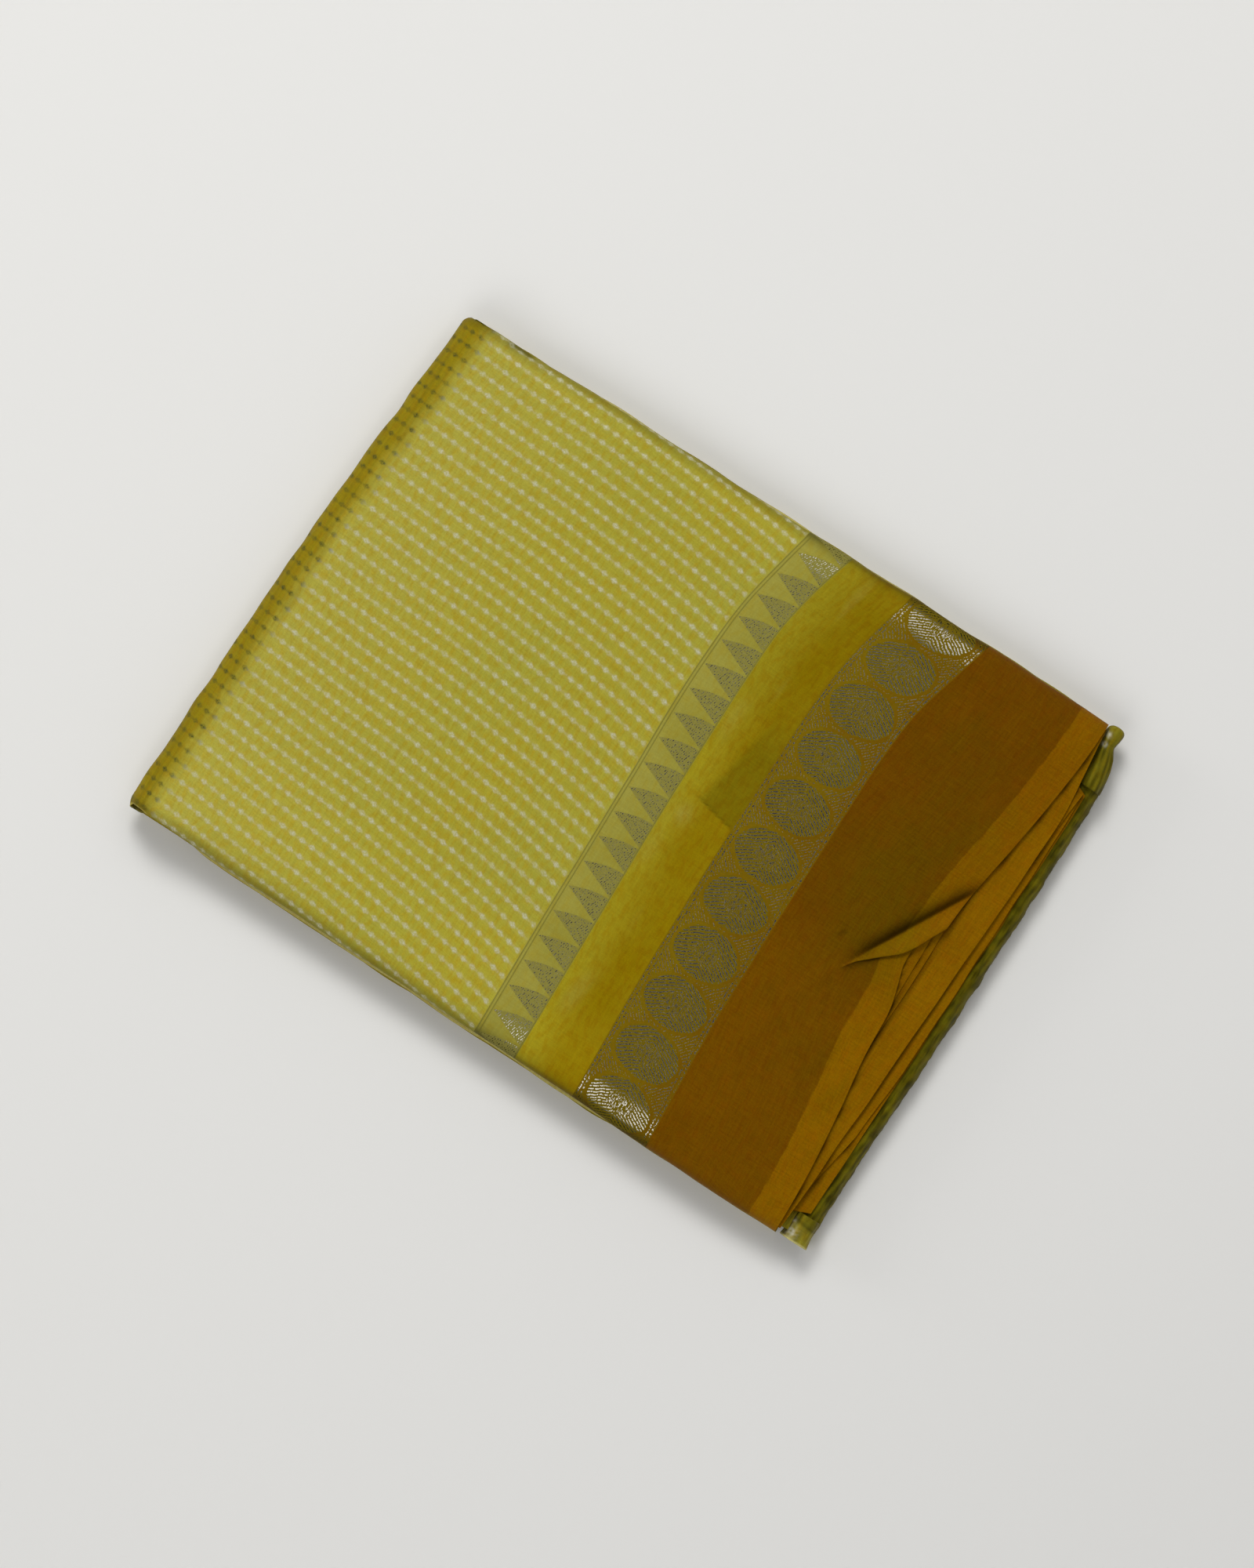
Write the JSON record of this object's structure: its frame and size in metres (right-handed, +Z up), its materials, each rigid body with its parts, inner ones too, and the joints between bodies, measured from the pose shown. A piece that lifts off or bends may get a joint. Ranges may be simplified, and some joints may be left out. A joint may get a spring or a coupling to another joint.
{
  "type": "folded sari",
  "caption": "Silk-cotton sari folded flat: yellow field with dotted zari lines, zari temple and medallion bands, mustard end with a raised tuck and a rolled right fold.",
  "frame": {"origin": "on the surface that it rests on, under the middle of its outline", "axes": "+X across the bands, from the left fold to the right fold; +Y along the bands, from the near side to the far side; +Z up"},
  "size_m": [0.3952, 0.2976, 0.0287],
  "materials": {
    "field_cloth": "woven silk-cotton, yellow, with dotted silver zari lines",
    "temple_zari": "woven silk-cotton with silver zari triangles",
    "gold_cloth": "plain woven silk-cotton, gold yellow",
    "medallion_zari": "woven silk-cotton, mustard, with silver zari medallions",
    "mustard_cloth": "plain woven silk-cotton, mustard shot with olive",
    "orange_selvedge": "plain woven silk-cotton selvedge, orange",
    "turned_cloth": "woven silk-cotton, yellow, seen dark where it turns"
  },
  "bodies": {
    "root": {"field_stretch": "field_cloth", "temple_band": "temple_zari", "plain_band": "gold_cloth", "medallion_band": "medallion_zari", "mustard_band": "mustard_cloth", "light_selvedge": "orange_selvedge", "selvedge_leaf_2": "orange_selvedge", "selvedge_leaf_3": "orange_selvedge", "selvedge_leaf_4": "orange_selvedge", "selvedge_leaf_5": "orange_selvedge", "right_fold": "turned_cloth", "fold_end_far": "field_cloth", "fold_end_near": "field_cloth", "under_leaf": "field_cloth", "inner_layers": "field_cloth"}
  },
  "joints": []
}
